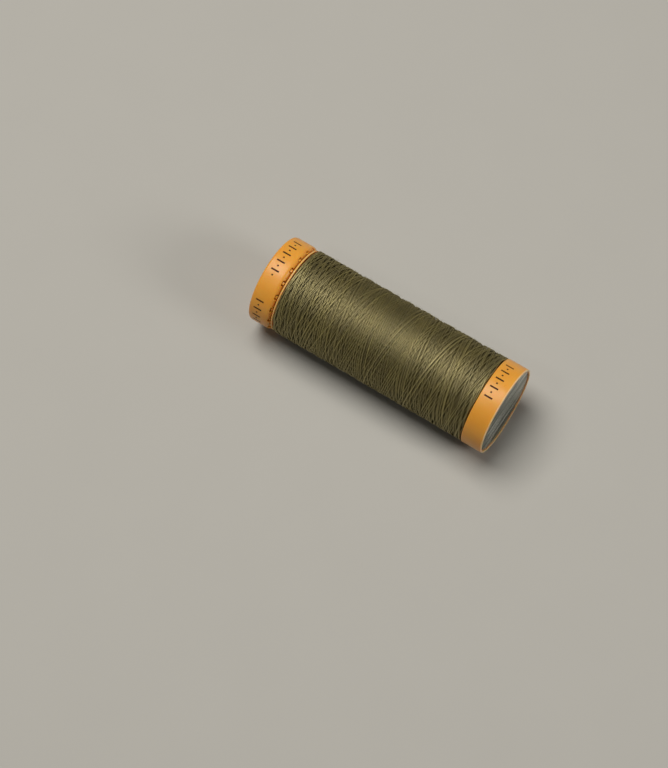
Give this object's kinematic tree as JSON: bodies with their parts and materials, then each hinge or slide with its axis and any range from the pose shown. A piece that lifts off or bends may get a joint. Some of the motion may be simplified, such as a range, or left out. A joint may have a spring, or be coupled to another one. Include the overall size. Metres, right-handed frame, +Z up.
{
  "type": "spool of thread",
  "caption": "Cross-wound sewing thread on a moulded core with ring ends; one end cap slides out to open a toothed nip that holds the thread's end.",
  "frame": {"origin": "on the surface the spool lies on, straight under the middle of its axis", "axes": "+X along the spool's axis from the snap cap to the plain end, +Z up, +Y across"},
  "size_m": [0.058, 0.02, 0.02],
  "materials": {
    "cap_plastic": "semi-gloss moulded amber plastic",
    "core_plastic": "semi-gloss moulded amber plastic",
    "foil_label": "silver-grey printed foil label, lightly creased",
    "ring_ink": "dark brown pad-printed ink",
    "thread": "soft olive cotton sewing thread, cross-wound"
  },
  "bodies": {
    "spool": {"core_tube": "core_plastic", "plain_end_cap": "cap_plastic", "plain_end_label": "foil_label", "thread_winding": "thread", "thread_tail": "thread"},
    "snap_cap": {"snap_cap": "cap_plastic"}
  },
  "joints": [
    {"name": "snap_cap_slide", "type": "slide", "parent": "spool", "child": "snap_cap", "axis": [-1, 0, 0], "range_m": [0, 0.003]}
  ]
}
